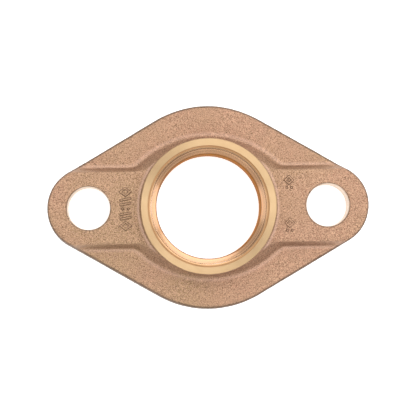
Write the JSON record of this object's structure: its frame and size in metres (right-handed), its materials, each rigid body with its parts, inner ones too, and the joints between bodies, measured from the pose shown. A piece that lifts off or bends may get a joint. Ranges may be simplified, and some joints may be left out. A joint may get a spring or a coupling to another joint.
{
  "type": "plain flange mount bearing",
  "caption": "Oval cast-bronze flange with bolt ears, a raised strip flaring round a short hub with a faced ring, and a plain turned bush in the bore to carry a shaft.",
  "frame": {"origin": "centre of the bore on the mounting face, which is the bottom of the bounding box", "axes": "+Z along the bore from the mounting face to the hub's faced ring; +X through the centres of the two bolt holes"},
  "size_m": [0.1538, 0.097, 0.022],
  "materials": {
    "cast_bronze": "sand-cast bronze skin, shot-blasted and matt, with a lathe-faced bright ring on the hub",
    "turned_bronze": "lathe-turned bronze, bright, with fine circular tool marks"
  },
  "bodies": {
    "root": {"flange_housing": "cast_bronze", "bearing_bush": "turned_bronze"}
  },
  "joints": []
}
